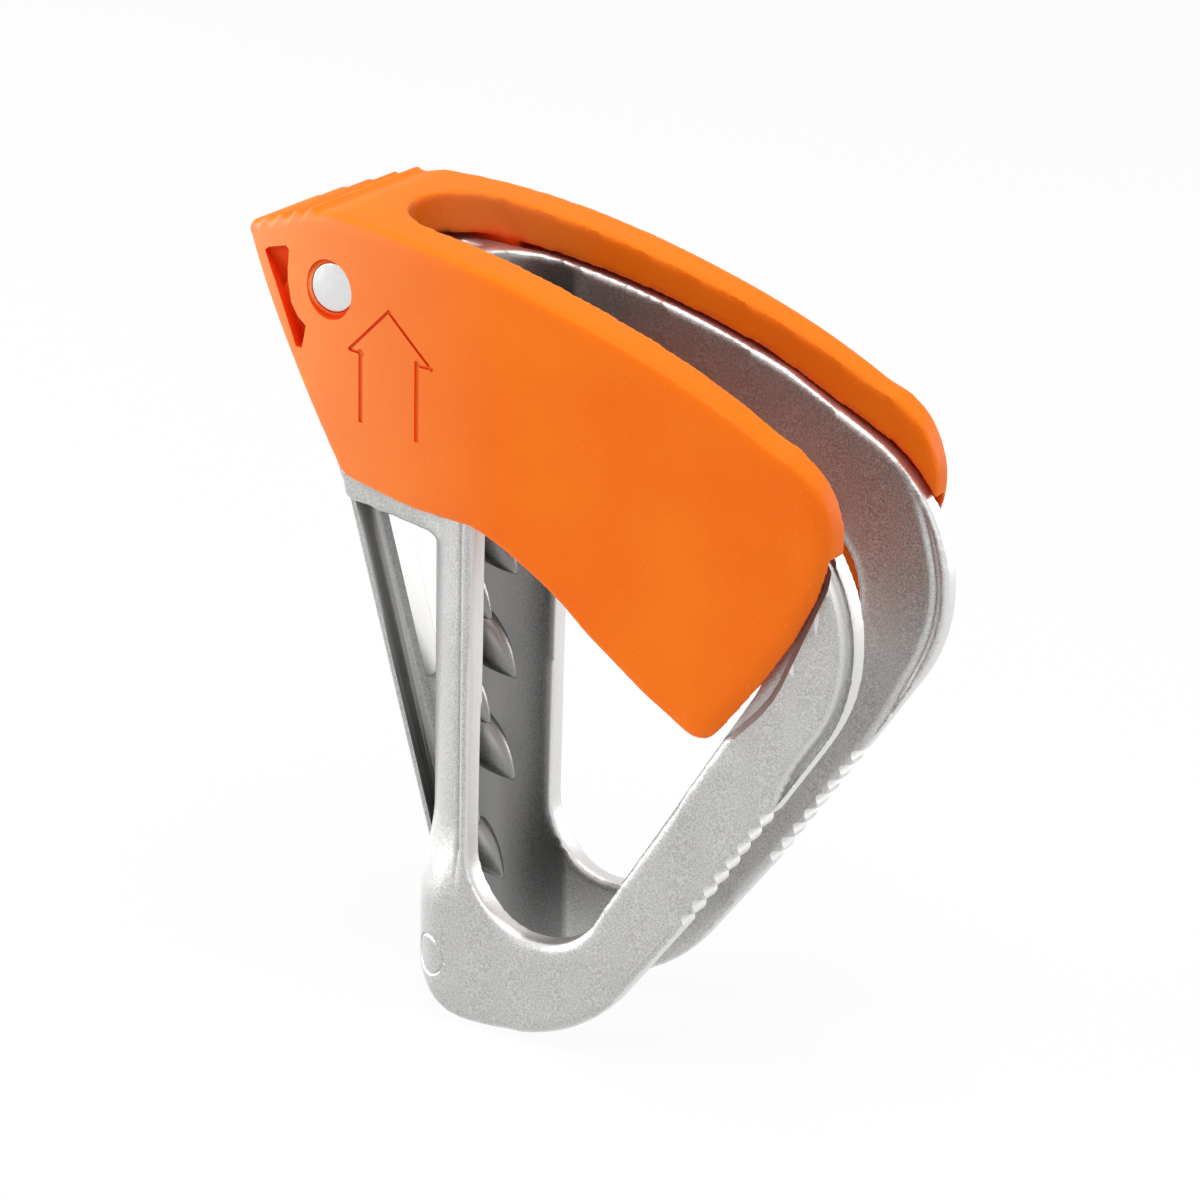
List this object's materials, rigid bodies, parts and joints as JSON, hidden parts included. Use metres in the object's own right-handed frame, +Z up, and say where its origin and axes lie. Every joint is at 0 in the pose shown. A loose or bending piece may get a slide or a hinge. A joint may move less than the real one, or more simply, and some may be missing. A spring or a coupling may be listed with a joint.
{
  "type": "rope ascender",
  "caption": "Small toothed rope clamp: a cast channel frame with a connector eye and a sprung, ridged thumb lever that straddles its side plates.",
  "frame": {"origin": "on the axis of the thickest rope the channel takes, half way up the row of teeth", "axes": "+Z up the rope, towards the lever; +X from the toothed wall towards the open side; +Y across, from the front plate to the rear plate"},
  "size_m": [0.0578, 0.0218, 0.0673],
  "materials": {
    "frame_metal": "satin",
    "lever_polymer": "satin",
    "pin_steel": "polished",
    "spring_steel": "bright"
  },
  "bodies": {
    "frame": {"rope_channel": "frame_metal", "channel_foot": "frame_metal", "channel_teeth": "frame_metal", "front_plate": "frame_metal", "rear_plate": "frame_metal", "front_cheek": "frame_metal", "rear_cheek": "frame_metal", "head_web": "frame_metal", "lever_ledge": "frame_metal", "fin_rear_wall": "frame_metal", "fin_lower_web": "frame_metal", "return_spring": "spring_steel"},
    "lever": {"lever_front_arm": "lever_polymer", "lever_rear_arm": "lever_polymer", "thumb_pad": "lever_polymer", "pivot_pin": "pin_steel"}
  },
  "joints": [
    {"name": "lever_pivot", "type": "hinge", "parent": "frame", "child": "lever", "pos_m": [-0.013, 0, 0.0365], "axis": [0, -1, 0], "range_deg": [0, 30], "stiffness_Nm_per_rad": 0.03, "springref_deg": -57.3, "deforming": ["return_spring"]}
  ]
}
